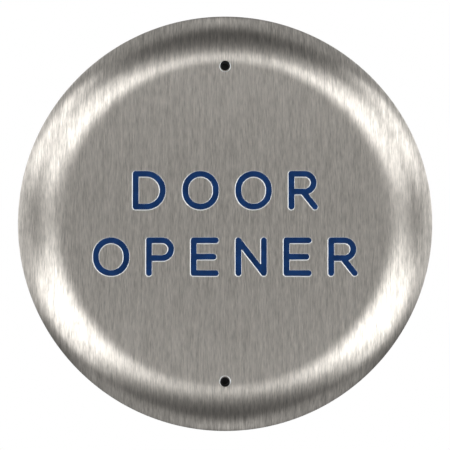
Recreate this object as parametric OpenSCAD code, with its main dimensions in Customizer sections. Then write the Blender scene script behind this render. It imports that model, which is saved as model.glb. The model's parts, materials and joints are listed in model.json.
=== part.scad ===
// Round all-active push plate for an automatic door.
//
// A pressed steel face floats on four springs in front of a back plate that is
// screwed to an electrical wall box. Pressing the face anywhere drives a central
// plunger, which works the lever of a snap-action switch behind the back plate.
//
// Each sub-part is drawn on the bench: X to the right, Y up the face, and Z out of
// the wall, with Z = 0 on the back plate's rear face. on_wall() then stands it up,
// so that the finished part faces -Y with +Z up.

/* [Face plate] */
// Outside diameter of the face plate
face_d = 152.4; // [146:0.1:160]
// Diameter of the flat middle of the face
flat_d = 115; // [110:0.5:118]
// Sheet thickness of the face plate
face_t = 1.6; // [1.2:0.1:1.8]
// Front of the face above the back plate's rear
face_front = 16; // [15.8:0.1:17]
// Depth of the curved rim, from the front to its open edge
rim_drop = 12; // [10:0.5:12.5]
// Diameter of the two key holes in the face
key_hole_d = 3.6; // [3:0.1:4.2]
// Distance between the two key holes
key_hole_pitch = 114.3; // [112:0.1:116]

/* [Legend] */
// Height of a capital letter, outside its strokes
letter_h = 14; // [11:0.1:14.5]
// Width of an engraved stroke
stroke_w = 2.15; // [1.6:0.05:2.4]
// Depth of the engraving
engraved = 0.5; // [0.3:0.05:0.7]
// Thickness of the paint at the bottom of the engraving
paint_t = 0.3; // [0.1:0.05:0.3]
// Distance between the two rows of letters
row_pitch = 24; // [20:0.5:26]
// Clear space between letters
letter_gap = 6; // [3:0.1:6.5]

/* [Back plate] */
// Outside diameter of the back plate
back_d = 136; // [132:0.5:138]
// Sheet thickness of the back plate
back_t = 1.5; // [1.2:0.1:1.6]
// Height of the back plate's turned-up lip
lip_h = 5; // [4:0.5:5.5]
// Distance between a wall box's upper and lower screws
box_pitch = 83.3; // [83:0.1:84]
// Distance between the two gangs of a double wall box
gang_pitch = 46; // [45.5:0.1:46.5]
// Diameter of the wall box screw holes
box_hole_d = 4.8; // [4.2:0.1:5]
// Thickness of the foam gasket behind the back plate
gasket_t = 1.5; // [1:0.1:3]

/* [Action] */
// How far the face presses in
travel = 2; // [1.5:0.1:2]
// How far out from the middle each return spring stands, along X and Y
spring_offset = 36; // [34:0.5:37]
// Diameter of the return spring's wire
spring_wire = 0.6; // [0.5:0.05:0.9]
// Outside diameter of a return spring
spring_d = 8; // [7.8:0.1:9]
// Number of coils in a return spring
spring_turns = 7; // [5:1:8]

/* [Hidden] */
$fn = 64;
coil_sides = 6;
coil_steps = 12;

// Face plate
face_r = face_d / 2;
flat_r = flat_d / 2;
rim_z = face_front - rim_drop;
face_rear = face_front - face_t;
rim_r = (pow(face_r - flat_r, 2) + pow(rim_drop, 2)) / (2 * rim_drop);

// Letters, measured on the middle of their strokes
cap_h = letter_h - stroke_w;
cap_r = cap_h / 2;
oval_r = 5.5;
bowl_r = 3.2;
advance = letter_gap + stroke_w;
width_d = 9.8;
width_o = 2 * oval_r;
width_p = 8;
width_r = 8.5;
width_e = 8;
width_n = 9.2;
middle_bar_cut = 0.8;
leg_inset = 0.6;
slant_inset = 0.01;

// Back plate
back_r = back_d / 2;
bend_r = 3;
gasket_outer_r = 67;
gasket_inner_r = 58;
fit_gap = 0.02;

// Retaining screws, and the keepers that slide on them
key_y = key_hole_pitch / 2;
thread_r = 1.75;
shoulder_r = 2.25;
head_r = 3.3;
head_h = 3;
head_z = 9;
hex_socket_r = 1.45;
hex_socket_h = 1.8;
standoff_r = 4;
standoff_spigot_r = 3;
thread_gap = 0.03;
screw_end_z = 0.6;
keeper_t = 1.2;
keeper_w = 16;
keeper_hole_r = 2.7;
keeper_foot_y = 36;
keeper_riser_y = 49;
keeper_gap = 0.15;
keeper_web_z = head_z - keeper_gap - keeper_t;
stop_gap = 0.35;
standoff_top = keeper_web_z - travel - stop_gap;

// Spring seats
post_r = 2.7;
post_h = 3;
locator_h = 2.5;
rivet_r = 1.5;
spring_spots = [for (sx = [1, -1], sy = [1, -1]) [sx * spring_offset, sy * spring_offset]];

// Guide bush and plunger
bush_r = 6;
bush_flange_r = 9;
bush_flange_t = 1.5;
bush_end = -6.6;
stem_r = 4;
bore_r = 4.05;
pad_r = 8;
pad_z = 8;
pad_edge_z = 12;
dome_gap = 0.05;
dome_h = face_rear - dome_gap - pad_edge_z;
dome_r = (pow(pad_r, 2) + pow(dome_h, 2)) / (2 * dome_h);
tip_z = -8.9;
tip_r = 9;
clip_z = -7.45;
clip_t = 0.6;
clip_groove_r = 3.2;
clip_r = 6;
plunger_spring_wire = 0.65;
plunger_spring_r = 6;
plunger_spring_turns = 3;

// Snap-action switch
case_l = 27.8;
case_h = 15.9;
case_w = 10.3;
case_wall = 1.5;
case_y = -4.9;
case_top = -12.4;
case_bottom = case_top - case_h;
case_x = case_w / 2;
cavity_x = case_x - case_wall;
cavity_y = [0.9, 18.1];
cavity_z = [case_bottom + 1.4, case_top - 1.4];
switch_holes = [[-2.1, case_top - 2.9], [20.1, case_bottom + 2.8]];
screw_r = 1.5;
screw_head_r = 2.75;
screw_head_h = 1.8;
screw_slot_w = 0.8;
nut_r = 3.18;
nut_h = 2.4;
hinge_y = 20;
hinge_z = -10.2;
pin_r = 0.6;
knuckle_r = 1.2;
knuckle_w = 4.4;
lever_t = 0.4;
lever_w = 4.4;
lever_end_y = -3;
side_gap = 0.1;
ear_half_l = 1.8;
ear_rise = 1.4;
pin_gap = 0.04;
button_y = 12;
button_r = 1.4;
button_flange_r = 2.2;
button_flange_z = case_top - 2.4;
button_flange_t = 0.6;
button_dome_r = 2.5;
touch_gap = 0.1;
tab_w = 6.3;
tab_t = 0.8;
tab_l = 8;
tab_hole_r = 0.8;
tab_hole_inset = 2.4;
tab_y = cavity_y[0] + 0.05;
blade_notch = 0.4;
blade_pivot_y = 2;
blade_z = -16.75;
blade_t = 0.3;
blade_w = 4;
blade_tail = 0.6;
blade_bead_r = 0.25;
contact_y = 16;
contact_r = 1.3;
contact_t = 0.45;
closed_z = -15.55;
open_z = -19.1;

// Bracket
bracket_t = 1.2;
bracket_x = 20;
bracket_y = [9, 22.9];
bracket_rivets_at = [[13.5, 12.5], [13.5, 19.5]];
bracket_rivet_r = 1.6;
rivet_head_r = 2.9;
rivet_head_h = 0.9;

// ---------------------------------------------------------------- helpers

// Stands a bench drawing up on the wall: bench Z becomes -Y, and bench Y becomes +Z.
module on_wall() {
    rotate([90, 0, 0]) children();
}

// A straight cylinder from height z0 to height z1.
module post(r, z0, z1) {
    translate([0, 0, z0]) cylinder(r = r, h = z1 - z0);
}

// A block between two opposite corners.
module block(low, high) {
    translate(low) cube(high - low);
}

// Puts a cylinder's axis along X, through a point of the YZ plane.
module along_x(y, z) {
    translate([0, y, z]) rotate([0, 90, 0]) children();
}

// A round-ended straight stroke from a to b, with sides that can stand in from its ends.
module stroke(a, b, inset = 0) {
    run = b - a;
    translate(a) rotate(atan2(run[1], run[0]))
        translate([0, inset - stroke_w / 2]) square([norm(run), stroke_w - 2 * inset]);
    for (end = [a, b]) translate(end) circle(d = stroke_w);
}

// A slanting stroke. Its sides stand in by a hair, so that they cross its round ends cleanly.
module slant(a, b) {
    stroke(a, b, slant_inset);
}

// Half of a ring stroke about c. turn 0 keeps its right half, and 90 its upper half.
module half_ring(c, r, turn = 0) {
    translate(c) rotate(turn) difference() {
        circle(r = r + stroke_w / 2);
        circle(r = r - stroke_w / 2);
        translate([-2 * r, -2 * r]) square([2 * r, 4 * r]);
    }
}

// Height of a coil's middle line after a number of turns: one closed coil at each end,
// and an even pitch between them.
function coil_height(turn, turns, wire, length) =
    let (open = length - 3 * wire, pitch = open / (turns - 2))
    turn < 1 ? turn * wire
    : turn > turns - 1 ? length - wire - (turns - turn) * wire
    : wire + (turn - 1) * pitch;

// A round wire wound into a compression spring that stands on Z = 0.
module coil_spring(r, wire, turns, length) {
    rings = turns * coil_steps;
    points = [
        for (i = [0 : rings], j = [0 : coil_sides - 1])
            let (
                a = 360 * i / coil_steps,
                b = 360 * j / coil_sides,
                out = r + wire / 2 * cos(b),
                up = wire / 2 + coil_height(i / coil_steps, turns, wire, length)
            )
            [out * cos(a), out * sin(a), up + wire / 2 * sin(b)]
    ];
    walls = [
        for (i = [0 : rings - 1], j = [0 : coil_sides - 1])
            let (k = (j + 1) % coil_sides, low = i * coil_sides, high = low + coil_sides)
            [low + j, low + k, high + k, high + j]
    ];
    first = [for (j = [coil_sides - 1 : -1 : 0]) j];
    last = [for (j = [0 : coil_sides - 1]) rings * coil_sides + j];
    polyhedron(points = points, faces = concat([first], walls, [last]), convexity = turns);
}

// ---------------------------------------------------------------- letters

// Each letter stands on Y = 0 with the middle of its left stroke at X = 0.
module letter_d() {
    stroke([0, 0], [0, cap_h]);
    stroke([0, 0], [width_d - cap_r, 0]);
    stroke([0, cap_h], [width_d - cap_r, cap_h]);
    half_ring([width_d - cap_r, cap_r], cap_r);
}

module letter_o() {
    half_ring([oval_r, cap_h - oval_r], oval_r, 90);
    half_ring([oval_r, oval_r], oval_r, -90);
    for (x = [0, width_o]) stroke([x, oval_r], [x, cap_h - oval_r]);
}

module letter_p() {
    stroke([0, 0], [0, cap_h]);
    for (y = [cap_h, cap_h - 2 * bowl_r]) stroke([0, y], [width_p - bowl_r, y]);
    half_ring([width_p - bowl_r, cap_h - bowl_r], bowl_r);
}

module letter_r() {
    letter_p();
    slant([width_p - bowl_r - leg_inset, cap_h - 2 * bowl_r], [width_r, 0]);
}

module letter_e() {
    stroke([0, 0], [0, cap_h]);
    for (y = [0, cap_h]) stroke([0, y], [width_e, y]);
    stroke([0, cap_h / 2], [width_e - middle_bar_cut, cap_h / 2]);
}

module letter_n() {
    for (x = [0, width_n]) stroke([x, 0], [x, cap_h]);
    slant([0, cap_h], [width_n, 0]);
}

// Left edge of the letter at place i in a row of letter widths, for a centred row.
function row_start(widths, i) =
    let (
        before = [for (k = [0 : len(widths) - 1]) if (k < i) widths[k] + advance],
        row = widths * [for (w = widths) 1] + (len(widths) - 1) * advance
    )
    (i == 0 ? 0 : before * [for (b = before) 1]) - row / 2;

module legend() {
    upper = [width_d, width_o, width_o, width_r];
    translate([0, row_pitch / 2 - cap_h / 2]) {
        translate([row_start(upper, 0), 0]) letter_d();
        for (i = [1, 2]) translate([row_start(upper, i), 0]) letter_o();
        translate([row_start(upper, 3), 0]) letter_r();
    }
    lower = [width_o, width_p, width_e, width_n, width_e, width_r];
    translate([0, -row_pitch / 2 - cap_h / 2]) {
        translate([row_start(lower, 0), 0]) letter_o();
        translate([row_start(lower, 1), 0]) letter_p();
        for (i = [2, 4]) translate([row_start(lower, i), 0]) letter_e();
        translate([row_start(lower, 3), 0]) letter_n();
        translate([row_start(lower, 5), 0]) letter_r();
    }
}

// ---------------------------------------------------------------- face

// Half section of a dish whose rim curves back from a flat middle.
module dish_section(curve_r, top, bottom) {
    translate([0, bottom]) square([flat_r, top - bottom]);
    intersection() {
        translate([flat_r, face_front - rim_r]) circle(r = curve_r, $fn = 256);
        translate([flat_r, bottom]) square([curve_r, top - bottom]);
    }
}

module face_plate() {
    color([0.62, 0.59, 0.55]) on_wall() difference() {
        rotate_extrude($fn = 256) difference() {
            dish_section(rim_r, face_front, rim_z);
            dish_section(rim_r - face_t, face_rear, rim_z - 1);
        }
        for (side = [1, -1]) translate([0, side * key_y, 0])
            post(key_hole_d / 2, face_rear - 1, face_front + 1);
        translate([0, 0, face_front - engraved]) linear_extrude(engraved + 1) legend();
    }
}

module legend_paint() {
    color([0.06, 0.14, 0.32]) on_wall()
        translate([0, 0, face_front - engraved]) linear_extrude(paint_t) legend();
}

// A strap welded behind the face, whose lower step slides on a retaining screw.
module keeper(side) {
    half = keeper_w / 2;
    color([0.6, 0.6, 0.58]) on_wall() mirror([0, side < 0 ? 1 : 0, 0]) difference() {
        union() {
            block([-half, keeper_foot_y, face_rear - keeper_t],
                  [half, keeper_riser_y + keeper_t, face_rear]);
            block([-half, keeper_riser_y, keeper_web_z],
                  [half, keeper_riser_y + keeper_t, face_rear - keeper_t]);
            block([-half, keeper_riser_y, keeper_web_z],
                  [half, key_y - 2, keeper_web_z + keeper_t]);
            translate([0, key_y - 2, 0]) post(half, keeper_web_z, keeper_web_z + keeper_t);
        }
        translate([0, key_y, 0]) post(keeper_hole_r, keeper_web_z - 1, keeper_web_z + keeper_t + 1);
    }
}

module spring_locators() {
    color([0.6, 0.6, 0.58]) on_wall() for (at = spring_spots) translate(at)
        post(post_r, face_rear - locator_h, face_rear);
}

// ---------------------------------------------------------------- back plate

module back_section() {
    difference() {
        union() {
            square([back_r - bend_r, lip_h]);
            translate([back_r - bend_r, bend_r]) circle(r = bend_r);
            translate([0, bend_r]) square([back_r, lip_h - bend_r]);
        }
        translate([-1, back_t]) square([back_r - bend_r + 1, lip_h]);
        translate([back_r - bend_r, bend_r]) circle(r = bend_r - back_t);
        translate([-1, bend_r]) square([back_r - back_t + 1, lip_h]);
    }
}

module back_plate() {
    color([0.72, 0.72, 0.7]) on_wall() difference() {
        rotate_extrude($fn = 256) back_section();
        post(bush_r + fit_gap, -1, back_t + 1);
        for (x = [-gang_pitch / 2, 0, gang_pitch / 2], side = [1, -1])
            translate([x, side * box_pitch / 2, 0]) post(box_hole_d / 2, -1, back_t + 1);
        for (side = [1, -1]) translate([0, side * key_y, 0])
            post(standoff_spigot_r + fit_gap, -1, back_t + 1);
        for (at = spring_spots) translate(at) post(rivet_r + fit_gap, -1, back_t + 1);
        for (at = bracket_rivets_at) translate(at)
            post(bracket_rivet_r + fit_gap, -1, back_t + 1);
    }
}

module wall_gasket() {
    color([0.1, 0.1, 0.1]) on_wall() difference() {
        post(gasket_outer_r, -gasket_t, 0);
        post(gasket_inner_r, -gasket_t - 1, 1);
    }
}

module standoff(side) {
    color([0.75, 0.74, 0.7]) on_wall() translate([0, side * key_y, 0]) difference() {
        union() {
            post(standoff_spigot_r, 0, back_t);
            post(standoff_r, back_t, standoff_top);
        }
        post(thread_r + thread_gap, -1, standoff_top + 1);
    }
}

module face_screws() {
    color([0.1, 0.1, 0.11]) on_wall() for (side = [1, -1])
        translate([0, side * key_y, 0]) difference() {
            union() {
                post(thread_r, screw_end_z, standoff_top);
                post(shoulder_r, standoff_top, head_z);
                post(head_r, head_z, head_z + head_h);
            }
            translate([0, 0, head_z + head_h - hex_socket_h])
                cylinder(r = hex_socket_r, h = hex_socket_h + 1, $fn = 6);
        }
}

module spring_posts() {
    color([0.6, 0.6, 0.58]) on_wall() for (at = spring_spots) translate(at) {
        post(post_r, back_t, back_t + post_h);
        post(rivet_r, 0, back_t);
    }
}

module return_spring(place) {
    color([0.7, 0.7, 0.72]) on_wall() translate([spring_spots[place][0], spring_spots[place][1], back_t])
        coil_spring((spring_d - spring_wire) / 2, spring_wire, spring_turns, face_rear - back_t);
}

// ---------------------------------------------------------------- plunger

module guide_bush() {
    color([0.85, 0.84, 0.8]) on_wall() difference() {
        union() {
            post(bush_r, bush_end, back_t);
            post(bush_flange_r, back_t, back_t + bush_flange_t);
        }
        post(bore_r, bush_end - 1, back_t + bush_flange_t + 1);
    }
}

module plunger() {
    color([0.12, 0.12, 0.13]) on_wall() {
        difference() {
            intersection() {
                post(stem_r, tip_z, pad_z);
                translate([0, 0, tip_z + tip_r]) sphere(r = tip_r, $fn = 96);
            }
            difference() {
                post(stem_r + 1, clip_z - fit_gap, clip_z + clip_t + fit_gap);
                post(clip_groove_r, clip_z - 1, clip_z + clip_t + 1);
            }
        }
        post(pad_r, pad_z, pad_edge_z);
        intersection() {
            post(pad_r, pad_edge_z, pad_edge_z + dome_h + 1);
            translate([0, 0, pad_edge_z + dome_h - dome_r]) sphere(r = dome_r, $fn = 96);
        }
    }
}

module plunger_clip() {
    slot = 2 * clip_groove_r - 1;
    color([0.25, 0.25, 0.27]) on_wall() translate([0, 0, clip_z]) linear_extrude(clip_t) difference() {
        circle(r = clip_r);
        circle(r = clip_groove_r + fit_gap);
        translate([-slot / 2, -clip_r - 1]) square([slot, clip_r + 1]);
    }
}

module plunger_spring() {
    seat = back_t + bush_flange_t;
    color([0.7, 0.7, 0.72]) on_wall() translate([0, 0, seat])
        coil_spring(plunger_spring_r, plunger_spring_wire, plunger_spring_turns, pad_z - seat);
}

// ---------------------------------------------------------------- switch

module switch_screw_holes(from_x, to_x) {
    for (at = switch_holes) along_x(at[0], at[1])
        post(screw_r + side_gap, from_x, to_x);
}

module switch_case() {
    color([0.09, 0.09, 0.1]) on_wall() difference() {
        union() {
            block([-cavity_x, case_y, case_bottom], [case_x, case_y + case_l, case_top]);
            for (side = [1, -1]) mirror([side < 0 ? 1 : 0, 0, 0])
                block([knuckle_w / 2 + side_gap, hinge_y - ear_half_l, case_top],
                      [cavity_x, hinge_y + ear_half_l, hinge_z + ear_rise]);
        }
        block([-cavity_x - 1, cavity_y[0], cavity_z[0]], [cavity_x, cavity_y[1], cavity_z[1]]);
        translate([0, button_y, 0]) post(button_r + side_gap, case_top - 2, case_top + 1);
        switch_screw_holes(-case_x - 1, case_x + 1);
        along_x(hinge_y, hinge_z) post(pin_r + fit_gap, -case_x, case_x);
        bottom_slot(tab_y);
        bottom_slot(cavity_y[1] - tab_t);
        block([-tab_w / 2, cavity_y[1] - 1, closed_z], [tab_w / 2, case_y + case_l + 1, closed_z + tab_t]);
    }
}

// The slot in the case's bottom that a terminal's tab leaves by.
module bottom_slot(y) {
    block([-tab_w / 2, y, case_bottom - 1], [tab_w / 2, y + tab_t, case_bottom + 2]);
}

module switch_cover() {
    color([0.12, 0.12, 0.13]) on_wall() difference() {
        block([-case_x, case_y, case_bottom], [-cavity_x, case_y + case_l, case_top]);
        switch_screw_holes(-case_x - 1, case_x + 1);
    }
}

module lever_pin() {
    color([0.7, 0.7, 0.7]) on_wall() along_x(hinge_y, hinge_z)
        post(pin_r, -cavity_x, cavity_x);
}

module switch_lever() {
    color([0.75, 0.75, 0.76]) on_wall() {
        difference() {
            union() {
                block([-lever_w / 2, lever_end_y, hinge_z + knuckle_r - lever_t],
                      [lever_w / 2, hinge_y, hinge_z + knuckle_r]);
                along_x(hinge_y, hinge_z) post(knuckle_r, -knuckle_w / 2, knuckle_w / 2);
            }
            along_x(hinge_y, hinge_z) post(pin_r + pin_gap, -knuckle_w, knuckle_w);
        }
    }
}

module switch_button() {
    top = hinge_z + knuckle_r - lever_t - touch_gap;
    bottom = blade_z + blade_t / 2 + touch_gap;
    upper = top - button_dome_r;
    lower = bottom + button_dome_r;
    color([0.75, 0.12, 0.1]) on_wall() translate([0, button_y, 0]) {
        intersection() {
            post(button_r, bottom, top);
            translate([0, 0, upper]) sphere(r = button_dome_r);
        }
        intersection() {
            post(button_r, bottom, upper);
            translate([0, 0, lower]) sphere(r = button_dome_r);
        }
        post(button_r, lower, upper);
        post(button_flange_r, button_flange_z, button_flange_z + button_flange_t);
    }
}

// A flat tab that stands out of the case's bottom, with its wire hole.
module bottom_tab(y, top) {
    difference() {
        block([-tab_w / 2, y, case_bottom - tab_l], [tab_w / 2, y + tab_t, top]);
        translate([0, y - 1, case_bottom - tab_l + tab_hole_inset]) rotate([-90, 0, 0])
            cylinder(r = tab_hole_r, h = tab_t + 2);
    }
}

module common_terminal() {
    color([0.8, 0.65, 0.3]) on_wall() difference() {
        bottom_tab(tab_y, blade_z + 1);
        block([-tab_w, tab_y + tab_t - blade_notch, blade_z - blade_t],
              [tab_w, tab_y + tab_t + 1, blade_z + blade_t]);
    }
}

module closed_terminal() {
    end_y = case_y + case_l + tab_l;
    color([0.8, 0.65, 0.3]) on_wall() difference() {
        block([-tab_w / 2, contact_y - contact_r, closed_z], [tab_w / 2, end_y, closed_z + tab_t]);
        translate([0, end_y - tab_hole_inset, 0]) post(tab_hole_r, closed_z - 1, closed_z + tab_t + 1);
    }
}

module open_terminal() {
    y = cavity_y[1] - tab_t;
    color([0.8, 0.65, 0.3]) on_wall() {
        bottom_tab(y, open_z);
        block([-tab_w / 2, contact_y - contact_r, open_z - tab_t], [tab_w / 2, y, open_z]);
    }
}

module fixed_contacts() {
    color([0.85, 0.85, 0.85]) on_wall() translate([0, contact_y, 0]) {
        post(contact_r, closed_z - contact_t, closed_z);
        post(contact_r, open_z, open_z + contact_t);
    }
}

module snap_blade() {
    color([0.8, 0.6, 0.35]) on_wall() {
        block([-blade_w / 2, blade_pivot_y - blade_tail, blade_z - blade_t / 2],
              [blade_w / 2, contact_y + contact_r, blade_z + blade_t / 2]);
        along_x(blade_pivot_y, blade_z) post(blade_bead_r, -blade_w / 2, blade_w / 2);
    }
}

module moving_contacts() {
    color([0.85, 0.85, 0.85]) on_wall() translate([0, contact_y, blade_z]) {
        post(contact_r, blade_t / 2, blade_t / 2 + contact_t);
        post(contact_r, -blade_t / 2 - contact_t, -blade_t / 2);
    }
}

module switch_screws() {
    color([0.7, 0.7, 0.7]) on_wall() for (at = switch_holes) along_x(at[0], at[1]) difference() {
        union() {
            post(screw_r, -case_x, case_x + bracket_t + nut_h + 1);
            post(screw_head_r, -case_x - screw_head_h, -case_x);
        }
        block([-screw_slot_w / 2, -screw_head_r - 1, -case_x - screw_head_h - 1],
              [screw_slot_w / 2, screw_head_r + 1, -case_x - screw_head_h + 0.9]);
    }
}

module switch_nuts() {
    color([0.7, 0.7, 0.7]) on_wall() for (at = switch_holes) along_x(at[0], at[1])
        translate([0, 0, case_x + bracket_t]) difference() {
            cylinder(r = nut_r, h = nut_h, $fn = 6);
            post(screw_r + thread_gap, -1, nut_h + 1);
        }
}

module switch_bracket() {
    color([0.72, 0.72, 0.7]) on_wall() difference() {
        union() {
            block([case_x, bracket_y[0], -bracket_t], [bracket_x, bracket_y[1], 0]);
            block([case_x, bracket_y[0], case_bottom], [case_x + bracket_t, bracket_y[1], -bracket_t]);
            block([case_x, case_y, case_bottom], [case_x + bracket_t, bracket_y[0], case_top]);
        }
        switch_screw_holes(case_x - 1, case_x + bracket_t + 1);
        for (at = bracket_rivets_at) translate(at) post(bracket_rivet_r + fit_gap, -bracket_t - 1, 1);
    }
}

module bracket_rivets() {
    color([0.75, 0.75, 0.75]) on_wall() for (at = bracket_rivets_at) translate(at) {
        post(bracket_rivet_r, -bracket_t, back_t);
        post(rivet_head_r, back_t, back_t + rivet_head_h);
        post(rivet_head_r, -bracket_t - rivet_head_h, -bracket_t);
    }
}

// ---------------------------------------------------------------- nodes

wall_gasket();
back_plate();
guide_bush();
standoff(1);  // upper_standoff
standoff(-1);  // lower_standoff
face_screws();
spring_posts();
return_spring(0);  // return_spring_1
return_spring(1);  // return_spring_2
return_spring(2);  // return_spring_3
return_spring(3);  // return_spring_4
plunger_spring();
switch_bracket();
bracket_rivets();
switch_case();
switch_cover();
switch_screws();
switch_nuts();
common_terminal();
closed_terminal();
open_terminal();
fixed_contacts();
lever_pin();
plunger();
plunger_clip();
face_plate();
legend_paint();
keeper(1);  // upper_keeper
keeper(-1);  // lower_keeper
spring_locators();
switch_lever();
switch_button();
snap_blade();
moving_contacts();
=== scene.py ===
"""Looks for a round push plate that opens an automatic door.

The plate is a brushed steel dish with an engraved and painted legend. It floats on four springs in front of
a zinc-plated back plate, and drives a plunger that works a snap-action switch behind it. Every size is in
metres. The plate looks along -Y, with +Z up, and turned pieces are spun about Y.
"""

import json
import logging
import math
from contextlib import contextmanager
from dataclasses import dataclass, field
from enum import Enum
from typing import Callable, Iterator, Sequence

import bmesh
import bpy
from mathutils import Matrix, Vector


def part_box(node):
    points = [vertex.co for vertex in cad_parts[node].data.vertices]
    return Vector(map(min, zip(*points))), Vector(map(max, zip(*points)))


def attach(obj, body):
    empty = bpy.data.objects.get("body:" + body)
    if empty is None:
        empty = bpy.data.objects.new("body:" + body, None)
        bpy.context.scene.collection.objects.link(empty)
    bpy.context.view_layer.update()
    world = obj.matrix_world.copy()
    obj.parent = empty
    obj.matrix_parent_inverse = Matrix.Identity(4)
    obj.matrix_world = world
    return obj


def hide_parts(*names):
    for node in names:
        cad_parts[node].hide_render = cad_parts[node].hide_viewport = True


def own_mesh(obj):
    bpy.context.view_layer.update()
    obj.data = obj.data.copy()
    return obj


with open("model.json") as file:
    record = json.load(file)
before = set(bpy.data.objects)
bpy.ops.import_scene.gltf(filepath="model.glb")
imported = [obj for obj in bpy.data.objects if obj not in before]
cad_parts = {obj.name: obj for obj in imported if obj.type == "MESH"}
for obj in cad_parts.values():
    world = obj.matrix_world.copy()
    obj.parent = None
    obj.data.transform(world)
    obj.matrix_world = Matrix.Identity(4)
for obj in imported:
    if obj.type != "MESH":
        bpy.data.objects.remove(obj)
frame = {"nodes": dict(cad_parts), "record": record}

log = logging.getLogger("push_plate")

MM = 0.001
WELD = MM / 1000
FLAT_ENOUGH = math.radians(0.4)
FACING = 0.9
Colour = tuple[float, float, float]
Point = tuple[float, float, float]


class Part(Enum):
    """What an edit-mode selection picks."""

    VERT = "VERT"
    EDGE = "EDGE"
    FACE = "FACE"


class Slot(Enum):
    """Material slots of the record."""

    BRUSHED_FACE = "brushed_face"
    LEGEND_BLUE = "legend_blue"
    PRESSED_STEEL = "pressed_steel"
    ZINC_STEEL = "zinc_steel"
    BLACK_OXIDE = "black_oxide"
    SPRING_STEEL = "spring_steel"
    FOAM = "foam"
    WHITE_ACETAL = "white_acetal"
    BLACK_NYLON = "black_nylon"
    SWITCH_BLACK = "switch_black"
    SWITCH_RED = "switch_red"
    TERMINAL_BRASS = "terminal_brass"
    COPPER_BLADE = "copper_blade"
    SILVER_CONTACT = "silver_contact"


# ------------------------------------------------------------------ modelling by hand


def select_only(*pieces: bpy.types.Object) -> None:
    """Selects these objects and nothing else, and makes the first one active."""
    bpy.ops.object.select_all(action="DESELECT")
    for piece in pieces:
        piece.select_set(True)
    bpy.context.view_layer.objects.active = pieces[0]


@contextmanager
def editing(piece: bpy.types.Object) -> Iterator[None]:
    """Opens a piece in edit mode with its whole mesh selected, and leaves edit mode after.

    Args:
        piece: the mesh object to edit.
    """
    select_only(piece)
    bpy.ops.object.mode_set(mode="EDIT")
    bpy.ops.mesh.select_mode(type="VERT")
    bpy.ops.mesh.select_all(action="SELECT")
    yield
    bpy.ops.object.mode_set(mode="OBJECT")


def pick(piece: bpy.types.Object, part: Part, wanted: Callable[[object], bool]) -> None:
    """Selects, in edit mode, only those vertices, edges or faces that pass a test.

    Args:
        piece: the object being edited.
        part: what is selected.
        wanted: the test, given a bmesh vertex, edge or face.
    """
    bpy.ops.mesh.select_mode(type=part.value)
    bpy.ops.mesh.select_all(action="DESELECT")
    mesh = bmesh.from_edit_mesh(piece.data)
    items = {Part.VERT: mesh.verts, Part.EDGE: mesh.edges, Part.FACE: mesh.faces}[part]
    for item in [item for item in items if wanted(item)]:
        item.select_set(True)
    mesh.select_flush_mode()
    bmesh.update_edit_mesh(piece.data)


def flatten(y: float) -> None:
    """Brings the selected vertices onto the plane at this y."""
    bpy.ops.transform.resize(value=(1, 0, 1), center_override=(0, y, 0))


def push(y: float) -> None:
    """Extrudes the selected faces straight along Y."""
    bpy.ops.mesh.extrude_region_move(TRANSFORM_OT_translate={"value": (0, y, 0)})


def apply(piece: bpy.types.Object, kind: str, **settings: object) -> None:
    """Adds a modifier to a piece and applies it.

    Args:
        piece: the mesh object.
        kind: Blender's name for the modifier type.
        settings: the modifier's own settings.
    """
    select_only(piece)
    modifier = piece.modifiers.new(kind.title(), kind)
    for key, value in settings.items():
        setattr(modifier, key, value)
    bpy.ops.object.modifier_apply(modifier=modifier.name)


def smooth(piece: bpy.types.Object, degrees: float = 30) -> None:
    """Shades a piece smooth, apart from edges sharper than this."""
    select_only(piece)
    bpy.ops.object.shade_smooth_by_angle(angle=math.radians(degrees))


def settle(piece: bpy.types.Object) -> None:
    """Puts a new piece's place into its mesh, so that its object sits at the origin."""
    select_only(piece)
    bpy.ops.object.transform_apply(location=True, rotation=True, scale=True)


def drum(name: str, radius: float, ends: tuple[float, float], at: Point, sides: int = 64,
         far_radius: float | None = None) -> bpy.types.Object:
    """Adds a round bar or a cone along Y.

    Args:
        name: the object's name.
        radius: its radius at the first end.
        ends: where it starts and stops along Y.
        at: a point on its axis; its y isn't used.
        sides: how many sides stand for the round.
        far_radius: its radius at the second end, where that differs.

    Returns:
        The new object.
    """
    first, second = ends
    bpy.ops.object.select_all(action="DESELECT")
    bpy.ops.mesh.primitive_cone_add(
        vertices=sides, radius1=radius, radius2=radius if far_radius is None else far_radius,
        depth=abs(second - first), location=(at[0], (first + second) / 2, at[2]),
        rotation=(math.radians(-90 if second > first else 90), 0, 0))
    piece = bpy.context.object
    piece.name = name
    settle(piece)
    return piece


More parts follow.
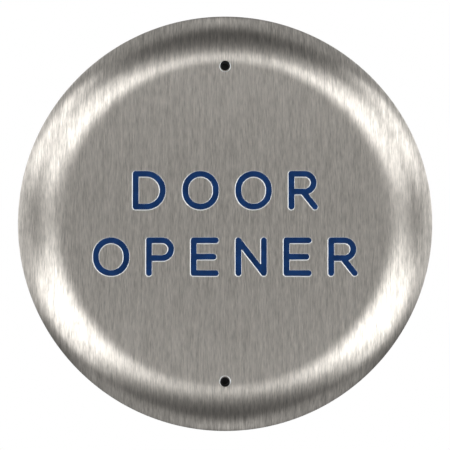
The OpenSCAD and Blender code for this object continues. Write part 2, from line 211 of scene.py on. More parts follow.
def turned(name: str, outline: Sequence[tuple[float, float]], steps: int) -> bpy.types.Object:
    """Spins an outline of (radius, y) points about the Y axis, and closes its two ends with flat faces.

    Args:
        name: the new object's name.
        outline: the points in order. The first and last stand clear of the axis.
        steps: how many steps make the round.

    Returns:
        The new object.
    """
    bpy.ops.object.select_all(action="DESELECT")
    bpy.ops.mesh.primitive_plane_add(size=MM, location=(0, 0, 0))
    piece = bpy.context.object
    piece.name = name
    with editing(piece):
        bpy.ops.mesh.merge(type="CENTER")
        bpy.ops.transform.translate(value=(outline[0][0], outline[0][1], 0))
        for (r0, y0), (r1, y1) in zip(outline, outline[1:]):
            bpy.ops.mesh.extrude_vertices_move(TRANSFORM_OT_translate={"value": (r1 - r0, y1 - y0, 0)})
        bpy.ops.mesh.select_all(action="SELECT")
        bpy.ops.mesh.spin(steps=steps, angle=math.tau, center=(0, 0, 0), axis=(0, 1, 0))
        bpy.ops.mesh.select_all(action="SELECT")
        bpy.ops.mesh.remove_doubles(threshold=WELD)
        for radius, y in (outline[0], outline[-1]):
            pick(piece, Part.EDGE, lambda edge: edge.is_boundary and all(
                abs(v.co.y - y) < MM / 100 and abs(math.hypot(v.co.x, v.co.z) - radius) < MM / 10
                for v in edge.verts))
            bpy.ops.mesh.edge_face_add()
        bpy.ops.mesh.select_all(action="SELECT")
        bpy.ops.mesh.normals_make_consistent(inside=False)
    return piece


def carry_over(node: str, name: str) -> bpy.types.Object:
    """Copies a CAD node's mesh into a new piece, merged and with its flat areas made whole.

    Args:
        node: the CAD node.
        name: the new object's name.

    Returns:
        The new object.
    """
    piece = bpy.data.objects.new(name, frame["nodes"][node].data.copy())
    bpy.context.scene.collection.objects.link(piece)
    piece.data.materials.clear()
    select_only(piece)
    bpy.ops.mesh.customdata_custom_splitnormals_clear()
    with editing(piece):
        bpy.ops.mesh.remove_doubles(threshold=WELD)
        bpy.ops.mesh.dissolve_limited(angle_limit=FLAT_ENOUGH)
    return piece


def join(pieces: Sequence[bpy.types.Object], name: str) -> bpy.types.Object:
    """Joins several objects into the first, under this name."""
    select_only(*pieces)
    bpy.ops.object.join()
    pieces[0].name = name
    return pieces[0]


def cut(piece: bpy.types.Object, cutter: bpy.types.Object) -> None:
    """Takes one shape out of another, and removes the cutting shape."""
    apply(piece, "BOOLEAN", operation="DIFFERENCE", solver="EXACT", object=cutter)
    bpy.data.objects.remove(cutter)


# ------------------------------------------------------------------ finishes


class Recipe:
    """The nodes of one material, written with plain calls."""

    def __init__(self, name: str) -> None:
        """Starts a material that holds one shader and its output."""
        self.material = bpy.data.materials.new(name)
        self.material.use_nodes = True
        self.tree = self.material.node_tree
        self.tree.nodes.clear()
        self.shader = self.add("ShaderNodeBsdfPrincipled")
        output = self.add("ShaderNodeOutputMaterial")
        self.tree.links.new(self.shader.outputs["BSDF"], output.inputs["Surface"])
        self.place = self.add("ShaderNodeTexCoord").outputs["Object"]

    def add(self, kind: str, feeds: dict | None = None, **settings: object) -> bpy.types.Node:
        """Adds a node.

        Args:
            kind: Blender's name for the node type.
            feeds: its inputs by name or number, each a socket to link or a value to set.
            settings: the node's own settings.

        Returns:
            The new node.
        """
        node = self.tree.nodes.new(kind)
        for key, value in settings.items():
            setattr(node, key, value)
        for key, value in (feeds or {}).items():
            self.feed(node, key, value)
        return node

    def feed(self, node: bpy.types.Node, key: str | int, value: object) -> None:
        """Links a socket into one of a node's inputs, or sets the input's value."""
        if isinstance(value, bpy.types.NodeSocket):
            self.tree.links.new(value, node.inputs[key])
        else:
            node.inputs[key].default_value = value

    def shade(self, **feeds: object) -> None:
        """Feeds the shader's inputs. An underscore in a name stands for a space."""
        for key, value in feeds.items():
            self.feed(self.shader, key.replace("_", " "), value)

    def stretched(self, per_metre: Point) -> bpy.types.NodeSocket:
        """Object coordinates scaled along each axis."""
        return self.add("ShaderNodeMapping", {"Vector": self.place, "Scale": per_metre}).outputs["Vector"]

    def noise(self, per_metre: Point, detail: float = 3, rough: float = 0.55) -> bpy.types.NodeSocket:
        """Noise with this many waves in a metre along X, Y and Z."""
        return self.add("ShaderNodeTexNoise", {"Vector": self.stretched(per_metre), "Scale": 1.0,
                                               "Detail": detail, "Roughness": rough}).outputs["Fac"]

    def spots(self, per_metre: float) -> bpy.types.NodeSocket:
        """Distance to the nearest of many scattered points, for cells and flecks."""
        cells = self.add("ShaderNodeTexVoronoi", {"Vector": self.place, "Scale": per_metre})
        return cells.outputs["Distance"]

    def span(self, value: bpy.types.NodeSocket, low: float, high: float, start: float = 0.3,
             stop: float = 0.7) -> bpy.types.NodeSocket:
        """Maps start..stop of a value onto low..high."""
        return self.add("ShaderNodeMapRange", {"Value": value, "From Min": start, "From Max": stop,
                                               "To Min": low, "To Max": high}).outputs["Result"]

    def sum(self, first: bpy.types.NodeSocket, second: bpy.types.NodeSocket,
            share: float = 1.0) -> bpy.types.NodeSocket:
        """Adds a share of the second value to the first."""
        return self.add("ShaderNodeMath", {0: second, 1: share, 2: first},
                        operation="MULTIPLY_ADD").outputs[0]

    def blend(self, factor: bpy.types.NodeSocket, low: Colour, high: Colour) -> bpy.types.NodeSocket:
        """Runs from one colour to another as the factor goes from 0 to 1."""
        return self.add("ShaderNodeMix", {0: factor, 6: (*low, 1), 7: (*high, 1)},
                        data_type="RGBA").outputs[2]

    def relief(self, height: bpy.types.NodeSocket, depth: float,
               over: bpy.types.NodeSocket | None = None) -> bpy.types.NodeSocket:
        """Bump of this real depth, laid over another bump where one is given."""
        feeds = {"Height": height, "Distance": depth, "Strength": 1.0}
        if over is not None:
            feeds["Normal"] = over
        return self.add("ShaderNodeBump", feeds).outputs["Normal"]


def tone(colour: Colour, share: float) -> Colour:
    """A colour made lighter or darker by a share."""
    return tuple(min(1.0, part * (1 + share)) for part in colour)


@dataclass(frozen=True)
class Finish:
    """A surface finish: its colour, its roughness, and how much each of them varies."""

    name: str
    colour: Colour
    roughness: float
    variation: float = 0.06

    def material(self) -> bpy.types.Material:
        """Makes the material, once for each scene."""
        made = bpy.data.materials.get(self.name)
        if made is None:
            recipe = Recipe(self.name)
            self.write(recipe)
            made = recipe.material
        return made

    def write(self, recipe: Recipe) -> None:
        """Writes the finish's nodes into a recipe."""
        raise NotImplementedError

    def varied(self, recipe: Recipe, factor: bpy.types.NodeSocket) -> bpy.types.NodeSocket:
        """The finish's colour, darker where the factor is 0 and lighter where it is 1."""
        return recipe.blend(factor, tone(self.colour, -self.variation), tone(self.colour, self.variation))


@dataclass(frozen=True)
class BrushedSteel(Finish):
    """Stainless steel brushed straight up and down: fine streaks over bands, duller across the grain."""

    streaks: float = 2100
    streak_run: float = 260
    bands: float = 650
    band_run: float = 60
    one_way: float = 0.5
    groove_depth: float = 0.008 * MM

    def write(self, recipe: Recipe) -> None:
        """Streaks colour the steel, change its roughness and raise a faint relief."""
        fine = recipe.noise((self.streaks, 0, self.streak_run), detail=4, rough=0.6)
        broad = recipe.noise((self.bands, 0, self.band_run), detail=2)
        both = recipe.sum(recipe.span(fine, 0, 0.65), recipe.span(broad, 0, 0.35))
        across = recipe.add("ShaderNodeTangent", direction_type="UV_MAP", uv_map="grain").outputs[0]
        recipe.shade(
            Base_Color=self.varied(recipe, both),
            Metallic=1.0,
            Roughness=recipe.span(both, self.roughness + 0.03, self.roughness - 0.03, 0, 1),
            Anisotropic=self.one_way,
            Tangent=across,
            Normal=recipe.relief(both, self.groove_depth))


@dataclass(frozen=True)
class CutSteel(Finish):
    """Bare steel where a cutter left a bright, finely torn edge."""

    def write(self, recipe: Recipe) -> None:
        """Short tear marks over bright metal."""
        tears = recipe.noise((4200, 4200, 4200), detail=3)
        recipe.shade(
            Base_Color=self.varied(recipe, tears),
            Metallic=1.0,
            Roughness=recipe.span(tears, self.roughness - 0.08, self.roughness + 0.08),
            Normal=recipe.relief(tears, 0.01 * MM))


@dataclass(frozen=True)
class PaintFill(Finish):
    """Enamel wiped into a groove: almost even, with a fine skin and a few thin places."""

    thin_share: float = 0.25

    def write(self, recipe: Recipe) -> None:
        """Slow changes of depth in the colour, and a fine skin on the surface."""
        depth = recipe.noise((260, 260, 260), detail=3)
        skin = recipe.noise((2400, 2400, 2400), detail=2)
        recipe.shade(
            Base_Color=recipe.blend(recipe.span(depth, 0, 1), tone(self.colour, -self.thin_share),
                                    tone(self.colour, self.thin_share)),
            Roughness=recipe.span(depth, self.roughness - 0.05, self.roughness + 0.07),
            Specular_IOR_Level=0.15,
            Normal=recipe.relief(skin, 0.006 * MM))


@dataclass(frozen=True)
class ZincPlate(Finish):
    """Zinc plate on pressed steel: soft cloudy patches with fine specks and faint handling marks."""

    def write(self, recipe: Recipe) -> None:
        """Clouds, specks and marks."""
        clouds = recipe.noise((140, 140, 140), detail=5, rough=0.62)
        specks = recipe.spots(2600)
        marks = recipe.noise((60, 60, 1500), detail=2)
        cloudy = recipe.sum(recipe.span(clouds, 0, 0.75), recipe.span(specks, 0, 0.25, 0, 0.7))
        warm = (self.colour[0], self.colour[1] * 0.985, self.colour[2] * 0.95)
        recipe.shade(
            Base_Color=recipe.blend(cloudy, tone(warm, -self.variation), tone(self.colour, self.variation)),
            Metallic=1.0,
            Roughness=recipe.span(cloudy, self.roughness + 0.09, self.roughness - 0.06, 0, 1),
            Normal=recipe.relief(recipe.sum(cloudy, marks, 0.3), 0.008 * MM))


@dataclass(frozen=True)
class BlackOxide(Finish):
    """Black oxide on turned steel, with an oily sheen and a little brown in it."""

    def write(self, recipe: Recipe) -> None:
        """A fine crystalline skin, browner where it is thin."""
        skin = recipe.noise((1800, 1800, 1800), detail=4)
        thin = recipe.noise((350, 350, 350), detail=3)
        brown = (self.colour[0] * 1.5, self.colour[1] * 1.2, self.colour[2])
        recipe.shade(
            Base_Color=recipe.blend(recipe.span(thin, 0, 1), self.colour, brown),
            Roughness=recipe.span(skin, self.roughness - 0.06, self.roughness + 0.1),
            Specular_IOR_Level=0.35,
            Normal=recipe.relief(skin, 0.006 * MM))


@dataclass(frozen=True)
class MillSteel(Finish):
    """Cold rolled steel as it comes, with drawing lines along one axis."""

    lines: Point = (2400, 2400, 60)

    def write(self, recipe: Recipe) -> None:
        """Drawing lines, with slow stains under them."""
        lines = recipe.noise(self.lines, detail=3)
        stains = recipe.noise((90, 90, 90), detail=4)
        both = recipe.sum(recipe.span(lines, 0, 0.6), recipe.span(stains, 0, 0.4))
        recipe.shade(
            Base_Color=self.varied(recipe, both),
            Metallic=1.0,
            Roughness=recipe.span(both, self.roughness + 0.06, self.roughness - 0.06, 0, 1),
            Normal=recipe.relief(lines, 0.003 * MM))


@dataclass(frozen=True)
class Strip(Finish):
    """Rolled brass, copper or silver strip: rolling lines, and tarnish that browns it in places."""

    tarnish: Colour = (0.35, 0.22, 0.1)
    lines: Point = (40, 2600, 2600)

    def write(self, recipe: Recipe) -> None:
        """Rolling lines and tarnish."""
        lines = recipe.noise(self.lines, detail=3)
        stain = recipe.noise((320, 320, 320), detail=5, rough=0.6)
        spread = recipe.span(stain, 0, 0.35, 0.5, 0.8)
        bright = self.varied(recipe, lines)
        aged = recipe.add("ShaderNodeMix", {0: spread, 6: bright, 7: (*self.tarnish, 1)}, data_type="RGBA")
        recipe.shade(
            Base_Color=aged.outputs[2],
            Metallic=1.0,
            Roughness=recipe.sum(recipe.span(lines, self.roughness - 0.04, self.roughness + 0.04),
                                 spread, 0.4),
            Normal=recipe.relief(lines, 0.002 * MM))


@dataclass(frozen=True)
class Moulded(Finish):
    """Moulded plastic: a fine spark-eroded grain, with slow gloss changes where the mould was polished."""

    grain: float = 2200
    grain_depth: float = 0.012 * MM

    def write(self, recipe: Recipe) -> None:
        """Grain and gloss."""
        grain = recipe.noise((self.grain, self.grain, self.grain), detail=3)
        gloss = recipe.noise((120, 120, 120), detail=3)
        recipe.shade(
            Base_Color=self.varied(recipe, gloss),
            Roughness=recipe.sum(recipe.span(gloss, self.roughness - 0.07, self.roughness + 0.07),
                                 recipe.span(grain, -0.03, 0.03)),
            Specular_IOR_Level=0.5,
            Normal=recipe.relief(grain, self.grain_depth))


@dataclass(frozen=True)
class ClosedCellFoam(Finish):
    """Black closed-cell foam: a skin of small burst cells of two sizes."""

    cells: float = 1500

    def write(self, recipe: Recipe) -> None:
        """Pits of two sizes, with painted shade that darkens the colour toward the middle of each pit."""
        small, large = recipe.spots(self.cells), recipe.spots(self.cells * 0.45)
        pits_and_pit_shade = recipe.sum(recipe.span(small, 0, 0.5, 0, 0.6), recipe.span(large, 0, 0.5, 0, 0.5))
        recipe.shade(
            # painted shade: the colour runs from dark in the middle of each pit to lighter between the pits
            Base_Color=recipe.blend(pits_and_pit_shade, tone(self.colour, -0.6), tone(self.colour, 0.5)),
            Roughness=recipe.span(pits_and_pit_shade, 0.98, self.roughness, 0, 1),
            Specular_IOR_Level=0.3,
            Normal=recipe.relief(pits_and_pit_shade, 0.12 * MM))


FINISHES: dict[Slot, Finish] = {
    Slot.BRUSHED_FACE: BrushedSteel("brushed_steel", (0.63, 0.597, 0.55), 0.36, 0.5),
    Slot.LEGEND_BLUE: PaintFill("blue_enamel", (0.0005, 0.02, 0.085), 0.45),
    Slot.PRESSED_STEEL: MillSteel("mill_steel", (0.6, 0.59, 0.57), 0.36),
    Slot.ZINC_STEEL: ZincPlate("zinc_plate", (0.68, 0.69, 0.71), 0.34, 0.1),
    Slot.BLACK_OXIDE: BlackOxide("black_oxide", (0.022, 0.022, 0.025), 0.38, 0.25),
    Slot.SPRING_STEEL: MillSteel("spring_wire", (0.56, 0.56, 0.57), 0.26, 0.08, (3000, 500, 3000)),
    Slot.FOAM: ClosedCellFoam("black_foam", (0.022, 0.022, 0.022), 0.85),
    Slot.WHITE_ACETAL: Moulded("white_acetal", (0.78, 0.76, 0.7), 0.42, 0.03, 1500),
    Slot.BLACK_NYLON: Moulded("black_nylon", (0.018, 0.018, 0.02), 0.45, 0.15),
    Slot.SWITCH_BLACK: Moulded("switch_black", (0.013, 0.013, 0.015), 0.3, 0.15),
    Slot.SWITCH_RED: Moulded("switch_red", (0.42, 0.014, 0.01), 0.3, 0.08),
    Slot.TERMINAL_BRASS: Strip("terminal_brass", (0.75, 0.55, 0.22), 0.3, 0.06),
    Slot.COPPER_BLADE: Strip("copper_blade", (0.78, 0.42, 0.22), 0.26, 0.06),
    Slot.SILVER_CONTACT: Strip("silver_contact", (0.86, 0.85, 0.82), 0.16, 0.04, (0.3, 0.27, 0.22),
                               (1500, 1500, 1500)),
}
CUT_EDGE = CutSteel("cut_edge", (0.95, 0.97, 0.98), 0.6, 0.03)


# ------------------------------------------------------------------ placing pieces

RECORD = frame["record"]
BODY_OF = {node: body for body, nodes in RECORD["behaviour"]["bodies"].items() for node in nodes}
SLOT_OF = {part["node"]: Slot(part["material_slot"]) for part in RECORD["subparts"]}


def hand_over(piece: bpy.types.Object, node: str) -> None:
    """Gives a finished piece to the CAD body of the node it stands for, with that node's finish.

    Args:
        piece: the finished piece.
        node: the CAD node it replaces.
    """
    slot = SLOT_OF[node]
    if not piece.data.materials:
        piece.data.materials.append(FINISHES[slot].material())
    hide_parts(node)
    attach(piece, BODY_OF[node])
    log.info("%s: %d faces, rides on %s", piece.name, len(piece.data.polygons), BODY_OF[node])


def soften(node: str, edge: float) -> None:
    """Makes a CAD node's piece with its sharp edges broken, as pressing, turning or moulding leaves them.

    Args:
        node: the CAD node.
        edge: how wide its edges are broken.
    """
    piece = carry_over(node, f"{node}_made")
    apply(piece, "BEVEL", width=edge, segments=2, limit_method="ANGLE",
          angle_limit=math.radians(32), use_clamp_overlap=True)
    smooth(piece, 40)
    apply(piece, "WEIGHTED_NORMAL", keep_sharp=True)
    hand_over(piece, node)


# ------------------------------------------------------------------ the face


@dataclass
class FacePlate:
    """The pressed dish: a flat middle, a rim that curves back, two key holes and the legend's grooves."""

    low: Vector = field(default_factory=lambda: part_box("face_plate")[0])
    high: Vector = field(default_factory=lambda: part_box("face_plate")[1])
    flat_radius: float = 57.5 * MM
    sheet: float = 1.6 * MM
    rim_steps: int = 26
    round_steps: int = 240
    flat_margin: float = 0.35 * MM
    edge_round: float = 0.35 * MM
    key_hole_radius: float = 1.8 * MM
    key_hole_height: float = 57.15 * MM
    hole_reach: float = 3 * MM
    countersink: float = 0.3 * MM
    countersink_offset: float = 0.3 * MM
    groove_depth: float = 0.5 * MM
    mouth_margin: float = 0.19 * MM
    chamfer_width: float = 0.34 * MM
    chamfer_depth: float = 0.12 * MM
    slope_span: tuple[float, float] = (0.3, 0.97)

    def rim_point(self, radius: float, angle: float) -> tuple[float, float]:
        """A point of the rim's arc.

        Args:
            radius: the arc's radius.
            angle: how far round from the flat, in radians.

        Returns:
            Its distance from the axis, and its y.
        """
        return (self.flat_radius + radius * math.sin(angle),
                self.low.y + self.rim_radius - radius * math.cos(angle))

    @property
    def rim_radius(self) -> float:
        """Radius of the rim's outer curve, from the width and the drop of the rim."""
        width, drop = self.high.x - self.flat_radius, self.high.y - self.low.y
        return (width ** 2 + drop ** 2) / (2 * drop)

    def dish(self) -> bpy.types.Object:
        """Spins the dish and rounds its open edge."""
        outer, inner = self.rim_radius, self.rim_radius - self.sheet
        drop = self.high.y - self.low.y
        outer_end = math.acos(1 - drop / outer)
        inner_end = math.acos((outer - drop) / inner)
        steps = range(self.rim_steps + 1)
        front = [self.rim_point(outer, outer_end * i / self.rim_steps) for i in steps]
        rear = [self.rim_point(inner, inner_end * i / self.rim_steps) for i in reversed(steps)]
        margin = self.flat_radius - self.flat_margin
        outline = [(margin, self.low.y), *front, *rear, (margin, self.low.y + self.sheet)]
        piece = turned("face_plate_brushed", outline, self.round_steps)
        with editing(piece):
            pick(piece, Part.EDGE, lambda edge: all(
                abs(v.co.y - self.high.y) < MM / 100 and math.hypot(v.co.x, v.co.z) > front[-1][0] - MM / 2
                for v in edge.verts))
            bpy.ops.mesh.bevel(offset=self.edge_round, segments=4)
        return piece

    def groove_cutter(self) -> bpy.types.Object:
        """Turns the paint's solids into a cutter with a shallow chamfer round its mouth."""
        cutter = carry_over("legend_paint", "groove_cutter")
        with editing(cutter):
            bpy.ops.transform.shrink_fatten(value=self.mouth_margin, use_even_offset=True)
            pick(cutter, Part.FACE, lambda face: face.normal.y < -FACING)
            flatten(self.low.y - self.groove_depth)
            pick(cutter, Part.FACE, lambda face: face.normal.y > FACING)
            flatten(self.low.y)
            bpy.ops.mesh.inset(thickness=self.chamfer_width)
            flatten(self.low.y + self.chamfer_depth)
            push(self.groove_depth - self.chamfer_depth)
        return cutter

    def key_cutter(self, side: int) -> bpy.types.Object:
        """A drill with its countersink for one key hole.

        Args:
            side: 1 for the upper hole, -1 for the lower.

        Returns:
            The cutter.
        """
        at = (0, 0, side * self.key_hole_height)
        drill = drum("drill", self.key_hole_radius, (self.low.y - MM, self.low.y + 2 * self.sheet), at)
        mouth = self.countersink
        inward = (0, 0, at[2] - side * self.countersink_offset)
        sink = drum("sink", self.key_hole_radius + 2 * mouth, (self.low.y - mouth, self.low.y + mouth),
                    inward, far_radius=self.key_hole_radius)
        apply(drill, "BOOLEAN", operation="UNION", solver="EXACT", object=sink)
        bpy.data.objects.remove(sink)
        return drill

    def dress(self, piece: bpy.types.Object) -> None:
        """Gives the plate its grain, and its cut edges their own bright finish."""
        piece.data.materials.append(FINISHES[Slot.BRUSHED_FACE].material())
        piece.data.materials.append(CUT_EDGE.material())
        reach = self.flat_radius + self.hole_reach
        for face in piece.data.polygons:
            middle = face.center
            inside = math.hypot(middle.x, middle.z) < reach
            sloped = -self.slope_span[1] < face.normal.y < -self.slope_span[0]
            if inside and sloped and self.is_cut(middle):
                face.material_index = 1
        grain = piece.data.uv_layers.new(name="grain")
        for corner in piece.data.loops:
            place = piece.data.vertices[corner.vertex_index].co
            grain.data[corner.index].uv = (place.x / self.high.x, place.z / self.high.x)

    def is_cut(self, place: Vector) -> bool:
        """Whether a place lies in the legend's field or at a key hole, and not on the rim."""
        at_hole = math.hypot(place.x, abs(place.z) - self.key_hole_height) < 2 * self.key_hole_radius
        return at_hole or math.hypot(place.x, place.z) < self.flat_radius - self.flat_margin

    def build(self) -> None:
        """Makes the plate and hands it over."""
        piece = self.dish()
        for side in (1, -1):
            cut(piece, self.key_cutter(side))
        cut(piece, self.groove_cutter())
        smooth(piece, 16)
        self.dress(piece)
        hand_over(piece, "face_plate")


@dataclass
class Legend:
    """The paint in the grooves.

    It lies a little right and up, by shift, so the bare bright cut edge shows only at the left and below,
    while the blue paint covers the cut edge at the right and above as painted shade, placed as if light came
    from the upper right.
    """

    skin_depth: float = 0.03 * MM
    # painted shade: this offset puts paint over the upper right cut edge and leaves the lower left one bare
    # and bright
    painted_shade_shift: tuple[float, float] = (0.13 * MM, 0.16 * MM)
    edge: float = 0.04 * MM

    def build(self) -> None:
        """Raises the paint to just under the face, and softens its edge."""
        piece = carry_over("legend_paint", "legend_paint_fill")
        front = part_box("face_plate")[0].y
        with editing(piece):
            pick(piece, Part.FACE, lambda face: face.normal.y < -FACING)
            flatten(front + self.skin_depth)
            bpy.ops.mesh.select_all(action="SELECT")
            # painted shade: moving the paint up and right darkens the upper right edge of every stroke and
            # leaves a bright edge below and left
            bpy.ops.transform.translate(value=(self.painted_shade_shift[0], 0, self.painted_shade_shift[1]))
        apply(piece, "BEVEL", width=self.edge, segments=1, limit_method="ANGLE",
              angle_limit=math.radians(60))
        smooth(piece, 35)
        hand_over(piece, "legend_paint")


@dataclass
class FaceBack:
    """What is welded behind the face: the two keepers and the four spring locators."""

    edge: float = 0.25 * MM

    def build(self) -> None:
        """Makes the keepers and the locators."""
        for node in ("upper_keeper", "lower_keeper", "spring_locators"):
            soften(node, self.edge)


# ------------------------------------------------------------------ springs


@dataclass
class CoilSpring:
    """A round-wire compression spring with one closed coil at each end.

    It stands along Y, and flattens toward its seat as the face goes in. tilt is how far the face above it
    tips, in radians, and the spring stops short of the face by as much as that brings the face in.
    """

    node: str
    wire: float
    coils: int
    tilt: float = 0
    travel: float = 2 * MM
    wire_sides: int = 12
    coil_steps: int = 36

    def coil(self, name: str, start: Point, pitch: float, coils: int, radius: float) -> bpy.types.Object:
        """Winds one stretch of even pitch.

        Args:
            name: the object's name.
            start: the middle of the wire where the stretch starts, on the side toward +X.
            pitch: how far each coil goes toward -Y.
            coils: how many coils.
            radius: from the axis to the middle of the wire.

        Returns:
            The wound stretch, around the spring's own axis.
        """
        bpy.ops.object.select_all(action="DESELECT")
        bpy.ops.mesh.primitive_circle_add(vertices=self.wire_sides, radius=self.wire / 2,
                                          location=(radius, start[1], 0))
        piece = bpy.context.object
        piece.name = name
        settle(piece)
        apply(piece, "SCREW", axis="Y", angle=math.tau, screw_offset=-pitch, iterations=coils,
              steps=self.coil_steps, render_steps=self.coil_steps)
        return piece

    def build(self) -> None:
        """Winds the spring in three stretches, closes its ends and lets it follow the face."""
        low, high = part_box(self.node)
        middle = (low + high) / 2
        radius = (high.x - low.x - self.wire) / 2
        seat = high.y - self.wire / 2
        room = (abs(middle.x) + radius + self.wire) * math.sin(self.tilt)
        pitch = (high.y - low.y - room - 3 * self.wire) / (self.coils - 2)
        free = pitch * (self.coils - 2)
        stretches = [
            self.coil("seat_coil", (0, seat, 0), self.wire, 1, radius),
            self.coil("free_coils", (0, seat - self.wire, 0), pitch, self.coils - 2, radius),
            self.coil("end_coil", (0, seat - self.wire - free, 0), self.wire, 1, radius)]
        piece = join(stretches, f"{self.node}_wound")
        with editing(piece):
            bpy.ops.mesh.remove_doubles(threshold=MM / 200)
            bpy.ops.mesh.select_all(action="DESELECT")
            bpy.ops.mesh.select_mode(type="EDGE")
            bpy.ops.mesh.select_non_manifold()
            bpy.ops.mesh.fill()
            bpy.ops.mesh.select_all(action="SELECT")
            bpy.ops.mesh.normals_make_consistent(inside=False)
            bpy.ops.transform.translate(value=(middle.x, 0, middle.z))
        smooth(piece, 40)
        hand_over(piece, self.node)
        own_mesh(piece)


# ------------------------------------------------------------------ behind the face


@dataclass
class BackPlate:
    """The plated tray with its turned-up lip, its standoffs, screws and posts, and the foam ring."""

    sheet_edge: float = 0.2 * MM
    small_edge: float = 0.15 * MM
    foam_edge: float = 0.35 * MM
    foam_steps: int = 192
    ring_inner: float = 58 * MM

    def gasket(self) -> None:
        """Turns the foam ring with its cut edges slightly rounded by the die."""
        low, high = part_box("wall_gasket")
        soft = self.foam_edge
        ring = [(self.ring_inner, high.y - soft), (self.ring_inner + soft, high.y), (high.x - soft, high.y),
                (high.x, high.y - soft), (high.x, low.y), (self.ring_inner, low.y)]
        piece = turned("wall_gasket_foam", [*ring, ring[0]], self.foam_steps)
        smooth(piece, 50)
        hand_over(piece, "wall_gasket")

    def build(self) -> None:
        """Makes the plate, what is riveted to it, and the gasket."""
        soften("back_plate", self.sheet_edge)
        for node in ("upper_standoff", "lower_standoff", "face_screws", "spring_posts", "bracket_rivets"):
            soften(node, self.small_edge)
        self.gasket()


@dataclass
class Plunger:
    """The guide bush, the domed plunger that slides in it, and the clip that keeps it there."""

    bush_edge: float = 0.3 * MM
    plunger_edge: float = 0.25 * MM
    clip_edge: float = 0.1 * MM

    def build(self) -> None:
        """Makes the three pieces."""
        soften("guide_bush", self.bush_edge)
        soften("plunger", self.plunger_edge)
        soften("plunger_clip", self.clip_edge)


@dataclass
class SnapSwitch:
    """The snap-action switch on its bracket: case, cover, screws, tabs, lever, button, blade and contacts."""

    case_edge: float = 0.3 * MM
    metal_edge: float = 0.1 * MM
    bracket_edge: float = 0.2 * MM

    def build(self) -> None:
        """Makes the switch's pieces and its bracket."""
        soften("switch_bracket", self.bracket_edge)
        for node in ("switch_case", "switch_cover"):
            soften(node, self.case_edge)
        for node in ("switch_screws", "switch_nuts", "common_terminal", "closed_terminal", "open_terminal",
                     "fixed_contacts", "lever_pin", "switch_lever", "switch_button", "snap_blade",
                     "moving_contacts"):
            soften(node, self.metal_edge)


# ------------------------------------------------------------------ studio


@dataclass(frozen=True)
class SoftBox:
    """A round soft box that looks at the plate, with a twin on the other side.

    rise is its direction round the plate as seen from the front, from the level line toward the top. tilt is
    its angle away from straight in front. Both are in degrees. glow is its brightness.
    """

    name: str
    rise: float
    tilt: float
    glow: float
    diameter: float = 0.8
    distance: float = 1.3

    def place(self, side: int) -> Vector:
        """Where the box stands on one side, 1 for the right and -1 for the left."""
        tilt, rise = math.radians(self.tilt), math.radians(self.rise)
        return self.distance * Vector((side * math.sin(tilt) * math.cos(rise), -math.cos(tilt),
                                       math.sin(tilt) * math.sin(rise)))

    def build(self) -> None:
        """Makes the lights, turned to the plate."""
        for side, word in ((1, "right"), (-1, "left")):
            place = self.place(side)
            bpy.ops.object.select_all(action="DESELECT")
            bpy.ops.object.light_add(type="AREA", location=place)
            light = bpy.context.object
            light.name = f"{self.name}_{word}"
            light.rotation_euler = (-place).to_track_quat("-Z", "Y").to_euler()
            light.data.shape = "DISK"
            light.data.size = self.diameter
            light.data.energy = self.glow * math.pi ** 2 * self.diameter ** 2 / 4


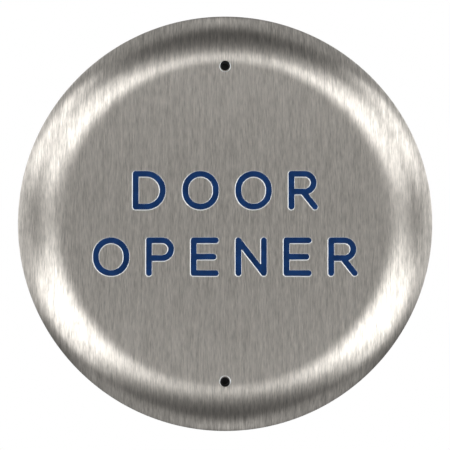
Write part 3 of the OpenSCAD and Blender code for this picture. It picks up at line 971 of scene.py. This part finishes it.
@dataclass
class Studio:
    """A pale room with soft boxes round the plate, a pale floor, and the camera in front of the plate."""

    ambient: float = 0.06
    backdrop: float = 1.0
    floor_drop: float = 0.6
    floor_half: float = 3.2
    floor_share: float = 0.05
    floor_colour: Colour = (0.93, 0.93, 0.92)
    camera_at: Point = (-0.03 * MM, -0.716, -0.44 * MM)
    lens: float = 155.1
    boxes: tuple[SoftBox, ...] = (
        SoftBox("front_low", -45, 30, 1.5, 0.4),
        SoftBox("front_high", 45, 30, 3.5, 0.4),
        SoftBox("wide_low", -30, 45, 2.6),
        SoftBox("wide_high", 30, 50, 2.0),
        SoftBox("side_low", -30, 75, 2.2),
        SoftBox("side_high", 30, 90, 2.0),
        SoftBox("rear", 0, 110, 0.6, 1.2),
        SoftBox("top", 70, 110, 0.3, 1.2),
        SoftBox("foot", -70, 110, 0.3, 1.2),
        SoftBox("behind", 20, 150, 1.0, 1.2),
    )

    def room(self) -> None:
        """Lights the room evenly, and shows it white to the camera."""
        world = bpy.data.worlds.new("room")
        bpy.context.scene.world = world
        world.use_nodes = True
        tree = world.node_tree
        tree.nodes.clear()
        seen = tree.nodes.new("ShaderNodeLightPath")
        level = tree.nodes.new("ShaderNodeMix")
        level.inputs[2].default_value = self.ambient
        level.inputs[3].default_value = self.backdrop
        glow = tree.nodes.new("ShaderNodeBackground")
        glow.inputs["Color"].default_value = (1, 1, 1, 1)
        output = tree.nodes.new("ShaderNodeOutputWorld")
        tree.links.new(seen.outputs["Is Camera Ray"], level.inputs[0])
        tree.links.new(level.outputs[0], glow.inputs["Strength"])
        tree.links.new(glow.outputs["Background"], output.inputs["Surface"])

    def floor(self) -> None:
        """Lays the pale floor, which glows evenly and takes only a small share of the lamps' light."""
        bpy.ops.object.select_all(action="DESELECT")
        bpy.ops.mesh.primitive_plane_add(size=2 * self.floor_half, location=(0, 0, -self.floor_drop))
        floor = bpy.context.object
        floor.name = "studio_floor"
        settle(floor)
        recipe = Recipe("studio_floor")
        mottle = recipe.noise((9, 9, 9))
        pale = recipe.blend(mottle, tone(self.floor_colour, -0.02), self.floor_colour)
        shaded = tone(self.floor_colour, self.floor_share - 1)
        recipe.shade(Base_Color=recipe.blend(mottle, tone(shaded, -0.02), shaded), Roughness=0.8,
                     Emission_Color=pale, Emission_Strength=1.0)
        floor.data.materials.append(recipe.material)
        floor.visible_glossy = False
        floor.visible_shadow = False

    def camera(self) -> None:
        """Sets the camera square to the plate."""
        bpy.ops.object.select_all(action="DESELECT")
        bpy.ops.object.camera_add(location=self.camera_at, rotation=(math.radians(90), 0, 0))
        camera = bpy.context.object
        camera.data.lens = self.lens
        camera.data.clip_start = 0.01
        bpy.context.scene.camera = camera

    def build(self) -> None:
        """Makes the room, the floor, the lights and the camera."""
        bpy.context.scene.view_settings.view_transform = "Standard"
        self.room()
        self.floor()
        for box in self.boxes:
            box.build()
        self.camera()


# ------------------------------------------------------------------ the whole


def main() -> None:
    """Builds the studio and every piece in order."""
    logging.basicConfig(level=logging.INFO, format="%(message)s")
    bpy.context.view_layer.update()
    Studio().build()
    FacePlate().build()
    Legend().build()
    FaceBack().build()
    for place in (1, 2, 3, 4):
        CoilSpring(f"return_spring_{place}", 0.6 * MM, 7, tilt=math.radians(1.2)).build()
    CoilSpring("plunger_spring", 0.65 * MM, 3).build()
    BackPlate().build()
    Plunger().build()
    SnapSwitch().build()


if __name__ == "__main__":
    main()
